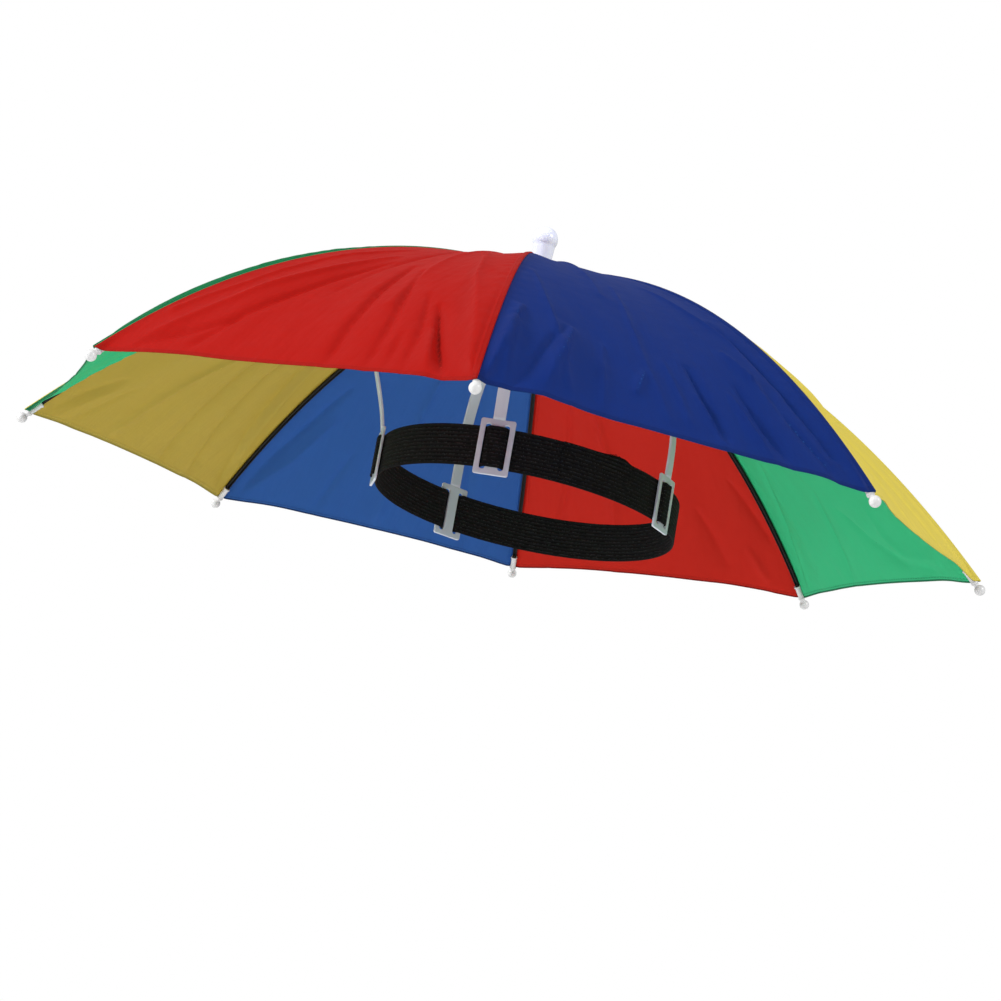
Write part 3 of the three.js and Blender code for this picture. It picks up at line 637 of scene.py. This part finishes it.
def cloth_material(name, outer, inner, through):
    """Thin woven cloth: fine threads and slubs, a soft sheen, stitches, and light that comes through. The
    inside face takes its own painted colour for the light and shade under the canopy, and painted shade along
    its rolled hem.
    """
    material, tree, shader = new_material(name)
    weave, aside, down = own_uv(tree, "weave")
    to_seam, to_hem = own_uv(tree, "edges")[1:]
    inside = own_uv(tree, "faces")[1]

    def stitches(distance, place, half_width, along):
        line = maths(tree, "COMPARE", distance, place, half_width)
        pitch = maths(tree, "FRACT", maths(tree, "DIVIDE", along, stitch_pitch))
        return times(tree, line, maths(tree, "LESS_THAN", pitch, 0.75))

    threads = []
    for direction in ("X", "Y"):
        wave = add_node(tree, "ShaderNodeTexWave", {"bands_direction": direction}, Vector=weave,
                        Scale=wave_turns / thread_pitch, Distortion=0.4, Detail=1.0)
        threads.append(wave.outputs["Fac"])
    thread = times(tree, *threads)
    slubs = noise(tree, weave, 1.0, 2.0, stretch=(2600, 190, 1))
    slubs = maths(tree, "ADD", slubs, noise(tree, weave, 1.0, 2.0, stretch=(190, 2600, 1)))
    crumple = noise(tree, weave, 90, 4.0)
    sewn = maths(tree, "MAXIMUM", stitches(to_hem, hem_width - 0.8 * mm, 0.3 * mm, aside),
                 stitches(to_seam, seam_width - 0.7 * mm, 0.25 * mm, down))
    doubled = maths(tree, "LESS_THAN", to_hem, hem_width - 0.3 * mm)
    tone = times(tree, noise(tree, object_place(tree), 6, 2.0), 0.35)
    tone = maths(tree, "MULTIPLY_ADD", slubs, 0.22, tone)
    # Painted light and shade: the inside face gets its own colour, brighter or darker than the outside, for
    # the light through the cloth and the shade under the canopy
    base = blend_colours(tree, inside, opaque(outer), opaque(inner))
    base = blend_colours(tree, tone, blend_colours(tree, 0.14, base, (0, 0, 0, 1)), base)
    base = blend_colours(tree, times(tree, sewn, 0.4), base, opaque(outer, 0.8))
    # Painted shade: the inside face darkens within the rolled edge of the hem; the same band also lets less
    # light through, below
    rolled_and_shaded_hem = times(tree, maths(tree, "LESS_THAN", to_hem, rolled_shaded_edge), inside)
    base = blend_colours(tree, times(tree, rolled_and_shaded_hem, 0.75), base, opaque(outer, 0.35))
    height = maths(tree, "ADD", times(tree, thread, 0.25), times(tree, slubs, 0.5))
    streaks = noise(tree, weave, 1.0, 2.0, stretch=(110, 12, 1))
    low = bump(tree, maths(tree, "ADD", crumple, times(tree, streaks, 1.5)), 0.9 * mm, 0.5)
    fine = bump(tree, height, 0.05 * mm, 0.5, under=low)
    sunk = bump(tree, sewn, 0.1 * mm, 0.6, under=fine)
    roughness = maths(tree, "MULTIPLY_ADD", crumple, 0.14, 0.4)
    set_inputs(tree, shader, {"Base Color": base, "Roughness": roughness, "Specular IOR Level": 0.05,
                              "Normal": sunk})
    dense = maths(tree, "MULTIPLY_ADD", rolled_and_shaded_hem, 0.7, times(tree, doubled, 0.25))
    glow_colour = blend_colours(tree, dense, opaque(through), opaque(through, 0.3))
    glow = add_node(tree, "ShaderNodeBsdfTranslucent", Color=glow_colour, Normal=sunk)
    mix = add_node(tree, "ShaderNodeMixShader")
    for number, value in enumerate((light_through, shader.outputs[0], glow.outputs[0])):
        put(tree, mix.inputs[number], value)
    tree.links.new(mix.outputs[0], tree.nodes["Material Output"].inputs["Surface"])
    return material


# Ribs and tips
def rib_body(number):
    """A channel open underneath, carried along the rib's curve, with a pin that enters the tip's sleeve."""
    inner = 14.3 * mm
    fall = rib_normal(number, tip_radius)
    mouth = tip_radius - (sleeve_end + 0.3 * mm) * fall[2]
    radius = np.linspace(inner, mouth, 64)
    w, v = rib_width / 2, rib_width / 2 - rib_wall
    top, soft = 2.4 * mm, 0.25 * mm
    shoulder = top - w * 0.5
    roof = shoulder - 0.35 * mm
    half = np.array([
        [0, top], [-w * 0.5, top - w * 0.2], [-w + soft / 2, shoulder + soft / 2], [-w, shoulder - soft],
        [-w, -rib_depth + soft], [-w + soft, -rib_depth], [-v - soft / 3, -rib_depth],
        [-v, -rib_depth + soft], [-v, roof - soft], [-v + soft, roof]])
    outline = np.concatenate([half, half[:0:-1] * [-1, 1]])[::-1]
    channel = carried(in_canopy(rib_point(number, radius)), canopy_direction(rib_sideways(number, radius)),
                      canopy_direction(rib_normal(number, radius)), outline)
    tip, normal, sideways, inwards = tip_frame(number)
    run = np.linspace(sleeve_end + 1.2 * mm, sleeve_end - 4.5 * mm, 6)
    pin = carried(in_canopy(tip + run[:, None] * inwards), canopy_direction(np.tile(sideways, (6, 1))),
                  canopy_direction(np.tile(normal, (6, 1))), rounded_outline(2.1 * mm, 1.9 * mm, 0.9 * mm))
    return joined(channel, pin)


def tip_frame(number):
    """The rib's end, and the directions away from the cloth, sideways and along the rib towards the crown."""
    normal, sideways = rib_normal(number, tip_radius), sideways_at(rib_angle(number))
    return rib_point(number, tip_radius), normal, sideways, np.cross(normal, sideways)


def tip_body(number):
    """A ball, a neck, a collar and a sleeve, turned about the rib's line at its tip."""
    turn = np.linspace(-math.pi / 2, math.radians(62), 18)
    profile = [(0, -ball_radius)]
    profile += [(ball_radius * math.cos(t), ball_radius * math.sin(t)) for t in turn[1:]]
    neck, collar = 1.6 * mm, sleeve_radius
    profile += [(neck, 3.35 * mm), (neck, 4.2 * mm), (collar - 0.25 * mm, 4.35 * mm), (collar, 4.6 * mm),
                (collar, 5.6 * mm), (collar - 0.15 * mm, 5.8 * mm), (collar - 0.3 * mm, 6.1 * mm),
                (collar - 0.3 * mm, 13.2 * mm), (collar, 13.4 * mm), (collar, sleeve_end - 0.25 * mm),
                (collar - 0.2 * mm, sleeve_end), (1.5 * mm, sleeve_end), (1.45 * mm, sleeve_end - 0.3 * mm),
                (1.45 * mm, sleeve_end - 5 * mm), (0, sleeve_end - 5 * mm)]
    points, quads, triangles = turned(profile, 28)
    tip, normal, sideways, inwards = tip_frame(number)
    return in_canopy(points @ np.stack([normal, sideways, inwards]) + tip), quads, triangles


# Headband
def band_point(turn):
    """A place on the band's oval middle line, turn measured from the front towards the wearer's left."""
    breadth, length = band_half_breadth - band_thickness / 2, band_half_length - band_thickness / 2
    turn = np.asarray(turn, dtype=float)
    return np.stack([breadth * np.sin(turn), -length * np.cos(turn), 0 * turn], axis=-1)


def band_outward(turn):
    turn = np.asarray(turn, dtype=float)
    across, ahead = np.sin(turn) / band_half_breadth, -np.cos(turn) / band_half_length
    return unit(np.stack([across, ahead, 0 * turn], axis=-1))


def worn(points):
    """From the headband's own frame to its tilted place on the head."""
    tilt = Matrix.Rotation(-band_tilt_back, 3, "X") @ Matrix.Rotation(-band_tilt_side, 3, "Y")
    return points @ np.array(tilt).T


band_up = worn(np.array([0.0, 0.0, 1.0]))
loop_turn = np.linspace(0, 2 * math.pi, 2881)
loop_run = np.append(0, np.cumsum(np.linalg.norm(np.diff(band_point(loop_turn), axis=0), axis=1)))
loop_length = loop_run[-1]
weave_offset = buckle_thickness / 2 + weave_gap + band_thickness / 2
buckle_turns = {"leg_front_left": 31, "leg_rear_left": 104, "leg_rear_right": -104, "leg_front_right": -35}


def run_at(turn):
    return np.interp(turn % (2 * math.pi), loop_turn, loop_run)


def turn_at(run):
    return np.interp(np.mod(run, loop_length), loop_run, loop_turn)


def band_weave(run):
    """How far the band stands out at each place: it steps over each buckle's middle bar."""
    out = np.zeros_like(run)
    for degrees in buckle_turns.values():
        away = np.abs((run - run_at(math.radians(degrees)) + loop_length / 2) % loop_length - loop_length / 2)
        bar = leg_width / 2 + weave_gap
        slot_end = buckle_width / 2 - buckle_side_bar - weave_gap
        out += 1 - smooth_step((away - bar) / (slot_end - bar))
    return out * 2 * weave_offset


def band_shell(run, inner, outer):
    """A run of elastic, inner to outer off the loop's middle, with its cords."""
    turn, ahead = turn_at(run), run + 0.5 * mm
    path = band_point(turn) + band_outward(turn) * band_weave(run)[:, None]
    forward = unit(band_point(turn_at(ahead)) + band_outward(turn) * band_weave(ahead)[:, None] - path)
    up = np.tile([0.0, 0.0, 1.0], (len(run), 1))
    out = np.cross(forward, up)
    height = np.linspace(-1, 1, band_cords * 6 + 1)
    relief = 0.22 * mm * (1 - np.abs(np.cos(height * band_cords * math.pi / 2)) ** 0.6)
    relief += 0.3 * mm * np.clip((np.abs(height) - 0.975) / 0.025, 0, 1)
    level = height * band_height / 2
    outline = np.concatenate([np.stack([outer - relief, level], axis=-1),
                              np.stack([inner + relief, level], axis=-1)[::-1]])
    return worn(path), worn(out), worn(up), outline


def headband_body():
    """The elastic round the loop, and over it a sewn overlap with frayed ends at the wearer's left."""
    half, top = band_thickness / 2, band_height / 2
    loop = np.arange(loop_stations) * loop_length / loop_stations
    path, out, up, outline = band_shell(loop, -half, half)
    bodies = [carried(path, out, up, outline, closed=True)]
    around = [np.repeat(loop, len(outline))]
    level = [np.tile(outline[:, 1], len(loop))]
    lap = np.linspace(*run_at(np.radians(lap_turns)), lap_stations)
    path, out, up, outline = band_shell(lap, half + 0.05 * mm, half + 0.5 * mm)
    share = np.linspace(0, 1, lap_stations)[:, None]
    raised = 1.4 * mm * smooth_step((share - 0.4) / 0.4) * (1 - 1.3 * smooth_step((share - 0.84) / 0.16))
    outlines = np.repeat(outline[None], lap_stations, axis=0)
    outlines[..., 1] += raised * np.clip(outlines[..., 1] / top, 0, 1)
    bodies.append(carried(path, out, up, outlines))
    around.append(np.append(np.repeat(lap, outlines.shape[1]), [lap[0], lap[-1]]))
    level.append(np.append(outlines[..., 1].ravel(), [0, 0]))
    for number, (degrees, lift) in enumerate(lint_places):
        run = run_at(math.radians(degrees)) + np.linspace(0, 1, 6) * (0.9 + 0.5 * (number % 3)) * mm
        turn = turn_at(run)
        rise = top + lift * mm + np.sin(np.linspace(0, 2.6, 6)) * (0.45 + 0.25 * ((number * 5) % 4)) * mm
        thread = band_point(turn) + band_outward(turn) * (0.4 + 0.3 * (number % 2)) * mm
        thread[:, 2] += rise
        bodies.append(carried(worn(thread), worn(band_outward(turn)), np.tile(band_up, (6, 1)),
                              rounded_outline(0.35 * mm, 0.35 * mm, 0.15 * mm, 1)))
        around.append(np.full(len(bodies[-1][0]), run[0]))
        level.append(np.full(len(bodies[-1][0]), top))
    return joined(*bodies), np.stack([np.concatenate(around), np.concatenate(level)], axis=-1)


# Legs and buckles
def half_outline(inset):
    """The outline of the plate's half beyond x = 0, drawn in at its three free sides, as 28 corner points."""
    width, height, corner = buckle_width / 2 - inset, buckle_height - 2 * inset, buckle_corner - inset
    outline = rounded_outline(width, height, corner, 6)
    middle = outline[7:21]
    centre_y = np.sign(middle[:, 1]) * (height / 2 - corner)
    centre = np.stack([np.full(14, corner - width / 2), centre_y], axis=-1)
    reach = middle - centre
    outline[7:21] = centre + reach * corner / np.abs(reach).max(axis=1, keepdims=True)
    return outline + [width / 2, 0]


def buckle_plate():
    """A flat plate with two slots: two mirrored halves, each one bevelled section carried round its slot."""
    width = buckle_width / 2 - buckle_side_bar - leg_width / 2
    height = buckle_height - 2 * buckle_end_bar
    middle = [leg_width / 2 + width / 2, 0]
    thick, soft = buckle_thickness / 2, buckle_bevel

    def slot(grow):
        return rounded_outline(width + 2 * grow, height + 2 * grow, slot_corner + grow, 6) + middle

    section = [(slot(0), thick - soft), (slot(0.3 * soft), thick - 0.3 * soft), (slot(soft), thick),
               (slot(1.6 * soft), thick), (half_outline(1.6 * soft), thick), (half_outline(soft), thick),
               (half_outline(0.3 * soft), thick - 0.3 * soft), (half_outline(0), thick - soft)]
    rings = []
    for outline, level in section:
        free = (outline[:, 0] > 1e-6) | (np.abs(outline[:, 1]) > buckle_height / 2 - soft - 1e-6)
        rings.append(np.column_stack([outline, np.where(free, level, thick)]))
    rings += [ring * [1, 1, -1] for ring in rings[::-1]]
    points = np.stack(rings, axis=1)
    quads = grid_quads(*points.shape[:2], wrap_rows=True, wrap_columns=True)[:, ::-1]
    points = points.reshape(-1, 3)
    quads = quads[(points[quads][..., 0] > 1e-6).any(axis=1)]
    mirrored = points * [-1, 1, 1]
    return np.concatenate([points, mirrored]), np.concatenate([quads, quads[:, ::-1] + len(points)])


def leg_shapes(name):
    """The buckle's place, and the leg's path from the hub's foot, over the head, to the buckle's top bar."""
    front = "front" in name
    flare, shoulder = (0.15, 114 * mm) if front else (0.03, 76 * mm)
    turn = math.radians(buckle_turns[name])
    outward = worn(band_outward(turn))
    sideways = np.cross(band_up, outward)
    centre = worn(band_point(turn) + band_outward(turn) * weave_offset)
    foot = centre + band_up * (buckle_height / 2 - buckle_end_bar / 2)
    spread = unit((foot - canopy_centre) * [1, 1, 0])
    start = canopy_centre + spread * 14.3 * mm
    start[2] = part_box("hub")[0][2] + 3 * mm
    handles = [start, start + spread * shoulder, foot + band_up * leg_rise + spread * flare * leg_rise, foot]
    return centre, sideways, outward, spread, handles


def leg_body(name):
    """A strip from the hub's foot that turns into its buckle's plane and ends on the plate's top edge."""
    centre, sideways, outward, spread, handles = leg_shapes(name)
    t = np.linspace(0, 1, 1500)[:, None]
    p0, p1, p2, p3 = handles
    path = p0 * (1 - t) ** 3 + 3 * p1 * t * (1 - t) ** 2 + 3 * p2 * t ** 2 * (1 - t) + p3 * t ** 3
    above = (path - centre) @ band_up > buckle_height / 2 - 0.2 * mm
    kept = np.flatnonzero(above)
    stations = kept[np.linspace(0, len(kept) - 1, 80).astype(int)]
    along = unit(np.gradient(path, axis=0))[stations]
    path, t = path[stations], t[stations]
    turn_over = smooth_step(t)
    across = np.cross([0, 0, 1], spread) * (1 - turn_over) + sideways * turn_over
    across = unit(across - along * np.sum(across * along, axis=-1, keepdims=True))
    away = np.cross(across, along)
    thin = leg_thickness * (1 - turn_over) + (buckle_thickness - 0.04 * mm) * turn_over
    outline = np.stack([rounded_outline(leg_width, float(h), 0.3 * mm, 3) for h in thin[:, 0]])
    strip = carried(path, across, away, outline)
    plate, quads = buckle_plate()
    return joined(strip, (plate @ np.stack([sideways, band_up, outward]) + centre, quads, []))


# Hub and finial
def on_axis(profile):
    """A profile turned about the canopy's axis."""
    points, quads, triangles = turned(profile, 64)
    return points + canopy_centre * [1, 1, 0], quads, triangles


def hub_body():
    low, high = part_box("hub")
    r, waist, e = 14 * mm, 6 * mm, 0.5 * mm
    foot, top = low[2], high[2]
    under, over = foot + 6 * mm, top - 8 * mm
    profile = [(0, foot), (r - e, foot), (r, foot + e), (r, under - e), (r - e, under), (waist + e, under),
               (waist, under + e), (waist, over - e), (waist + e, over), (r - e, over), (r, over + e),
               (r, top - e), (r - e, top), (0, top)]
    return on_axis(profile)


def finial_body():
    """A ball on a neck that narrows downwards to a skirt on the cloth, turned about the canopy's axis."""
    low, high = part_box("finial")
    ball, top = 7.6 * mm, high[2]
    centre = top - ball
    skirt_foot = canopy_centre[2] + crown_height + cloth_lift + 0.5 * mm + 0.3 * mm
    neck_top, neck_foot, skirt = 6.6 * mm, 5.4 * mm, 8.8 * mm
    begin = -math.acos(neck_top / ball)
    turn = np.linspace(begin, math.pi / 2, 28)
    base = skirt_foot + 3.2 * mm
    profile = [(0, low[2]), (neck_foot - 0.3 * mm, low[2]), (neck_foot, low[2] + 0.3 * mm),
               (neck_foot, skirt_foot), (skirt - 0.3 * mm, skirt_foot), (skirt, skirt_foot + 0.3 * mm),
               (skirt, skirt_foot + 0.9 * mm), (skirt - 0.9 * mm, skirt_foot + 1.7 * mm),
               (neck_foot + 1.2 * mm, skirt_foot + 2.3 * mm), (neck_foot + 0.2 * mm, base)]
    end = centre + ball * math.sin(begin)
    for share in np.linspace(0.1, 0.95, 8):
        profile.append((neck_foot + (neck_top - neck_foot) * share, base + (end - base) * share))
    profile += [(ball * math.cos(t), centre + ball * math.sin(t)) for t in turn[:-1]]
    profile.append((0, top))
    return on_axis(profile)


# Other materials
def plastic_material(name, colour, roughness, milk):
    """Moulded plastic: faint flow marks, fine pits, and light that soaks in where it is milky."""
    material, tree, shader = new_material(name)
    place = object_place(tree)
    cloud = noise(tree, place, 60, 3.0)
    fine = noise(tree, place, 900, 2.0)
    set_inputs(tree, shader, {
        "Base Color": blend_colours(tree, cloud, opaque(colour, 0.9), opaque(colour)),
        "Roughness": maths(tree, "MULTIPLY_ADD", fine, 0.2, roughness - 0.1),
        "Normal": bump(tree, fine, 0.03 * mm, 0.5), "IOR": 1.49, "Subsurface Weight": milk,
        "Subsurface Radius": (3 * mm, 3 * mm, 3.4 * mm), "Subsurface Scale": 1.0})
    return material


def rib_material():
    """Black lacquered rib: satin, with fine rubs."""
    material, tree, shader = new_material("rib_lacquer")
    place = object_place(tree)
    cloud = noise(tree, place, 140, 4.0)
    set_inputs(tree, shader, {
        "Base Color": blend_colours(tree, cloud, (0.004, 0.004, 0.004, 1), (0.014, 0.013, 0.012, 1)),
        "Roughness": maths(tree, "MULTIPLY_ADD", cloud, 0.3, 0.4), "Specular IOR Level": 0.2,
        "Normal": bump(tree, noise(tree, place, 700, 2.0), 0.03 * mm, 0.4)})
    return material


def elastic_material():
    """Woven elastic: dark cords crossed by fine weft ticks, painted highlights as light specks on the cord
    crests, and a little lint.
    """
    material, tree, shader = new_material("woven_elastic")
    weave, along, level = own_uv(tree, "weave")
    cords = maths(tree, "SINE", times(tree, level, 2 * math.pi * band_cords / band_height))
    pitch = maths(tree, "ADD", maths(tree, "DIVIDE", along, 0.8 * mm),
                  times(tree, noise(tree, weave, 300, 1.0), 1.2))
    ticks = maths(tree, "GREATER_THAN", maths(tree, "SINE", times(tree, pitch, 2 * math.pi)), 0.2)
    painted_crest_glints = times(tree, ticks, maths(tree, "GREATER_THAN", cords, 0.5))
    painted_crest_glints = times(tree, painted_crest_glints, maths(tree, "GREATER_THAN", noise(tree, weave, 700, 1.0), 0.5))
    fibres = noise(tree, weave, 1.0, 3.0, stretch=(900, 2600, 1))
    lint = maths(tree, "GREATER_THAN", noise(tree, weave, 1100, 2.0), 0.7)
    height = maths(tree, "ADD", times(tree, cords, 0.5), times(tree, fibres, 0.5))
    base = blend_colours(tree, fibres, (0.002, 0.002, 0.002, 1), (0.008, 0.008, 0.0078, 1))
    # Painted highlight: light specks on the cord crests, where light catches the weave
    base = blend_colours(tree, times(tree, painted_crest_glints, 0.5), base, (0.075, 0.08, 0.085, 1))
    base = blend_colours(tree, times(tree, lint, 0.25), base, (0.2, 0.2, 0.2, 1))
    set_inputs(tree, shader, {"Base Color": base, "Roughness": 0.85, "Specular IOR Level": 0.1,
                              "Normal": bump(tree, height, 0.25 * mm, 0.8)})
    return material


def place_piece(name, body, material, slot, *nodes, uv_maps=None):
    piece = make_piece(name, body[0], body[1], material, body[2], uv_maps)
    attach(piece, "root")
    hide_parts(*nodes)


# The hat
# Each cloth's colour outside, its inside colour painted to stand for the light and shade under the canopy,
# and the colour of the light that comes through
cloth_and_painted_inside_colours = {
    "red": ((0.4, 0.012, 0.008), (0.66, 0.03, 0.018), (0.7, 0.03, 0.02)),
    "blue": ((0.0085, 0.0235, 0.14), (0.04, 0.134, 0.4), (0.1, 0.25, 0.6)),
    "yellow": ((0.97, 0.82, 0.14), (0.47, 0.385, 0.092), (0.62, 0.5, 0.1)),
    "green": ((0.007, 0.1, 0.05), (0.063, 0.65, 0.3), (0.05, 0.6, 0.3)),
}
cloths = {colour: cloth_material(f"{colour}_taffeta", *cloth_and_painted_inside_colours[colour]) for colour in panel_colours}
for number in panel_numbers:
    cloth_panel(number, cloths[panel_colours[(number - 1) % 4]])

lacquer = rib_material()
white_plastic = plastic_material("white_plastic", (0.6, 0.6, 0.6), 0.3, 0.1)
milky_plastic = plastic_material("milky_plastic", (0.48, 0.52, 0.57), 0.35, 0.4)
finial_plastic = plastic_material("milky_finial", (0.74, 0.77, 0.92), 0.2, 0.5)
for number in panel_numbers:
    place_piece(f"channel_rib_{number}", rib_body(number), lacquer, "rib_black", f"rib_{number}")
    place_piece(f"ball_tip_{number}", tip_body(number), white_plastic, "tip_plastic", f"tip_cap_{number}")

place_piece("crown_hub", hub_body(), white_plastic, "tip_plastic", "hub")
place_piece("ball_finial", finial_body(), finial_plastic, "finial_plastic", "finial")

elastic_body, elastic_uv = headband_body()
place_piece("elastic_headband", elastic_body, elastic_material(), "band_elastic", "headband",
            uv_maps={"weave": elastic_uv})
for leg_name in buckle_turns:
    place_piece(f"strip_{leg_name}", leg_body(leg_name), milky_plastic, "leg_plastic", leg_name)


# Stage, lights and camera
def floor():
    material, tree, shader = new_material("pale_floor")
    grain = noise(tree, object_place(tree), 8, 3.0)
    tone = blend_colours(tree, grain, (0.88, 0.88, 0.88, 1), (0.92, 0.92, 0.92, 1))
    set_inputs(tree, shader, {"Base Color": tone, "Roughness": 0.8})
    corners = np.array([(-1, -1, 0), (1, -1, 0), (1, 1, 0), (-1, 1, 0)]) * floor_half + [0, 0, floor_height]
    make_piece("floor", corners, [0, 1, 2, 3], material)


def soft_light(name, place, aim, size, power):
    data = bpy.data.lights.new(name, "AREA")
    data.size = size
    data.energy = power
    light = bpy.data.objects.new(name, data)
    light.location = place
    light.rotation_euler = (Vector(aim) - Vector(place)).to_track_quat("-Z", "Y").to_euler()
    bpy.context.scene.collection.objects.link(light)


def sky():
    """White behind everything, and a softer light from all sides, so that the lamps can shape the folds."""
    world = bpy.data.worlds.new("studio")
    world.use_nodes = True
    tree = world.node_tree
    seen = tree.nodes.new("ShaderNodeLightPath").outputs["Is Camera Ray"]
    strength = maths(tree, "MULTIPLY_ADD", seen, 0.5, 0.5)
    set_inputs(tree, tree.nodes["Background"], {"Color": (1, 1, 1, 1), "Strength": strength})
    bpy.context.scene.world = world


def camera():
    data = bpy.data.cameras.new("photo_view")
    data.lens = camera_lens
    data.sensor_width = 36
    data.clip_end = 50
    view = bpy.data.objects.new("photo_view", data)
    back = -camera_forward.normalized()
    right = camera_up.cross(back).normalized()
    up = back.cross(right)
    view.matrix_world = Matrix((right, up, back)).transposed().to_4x4()
    view.matrix_world.translation = camera_place
    bpy.context.scene.collection.objects.link(view)
    bpy.context.scene.camera = view


floor()
sky()
soft_light("key", (-1.6, -2.4, 1.6), (0, 0, 0.05), 0.8, 122)
soft_light("side", (2.7, 0.3, 1.8), (0, 0, 0.05), 1.0, 66)
soft_light("fill", (0.2, -2.4, -0.3), (0, 0, 0), 1.4, 12)
camera()
bpy.context.scene.view_settings.view_transform = "Standard"
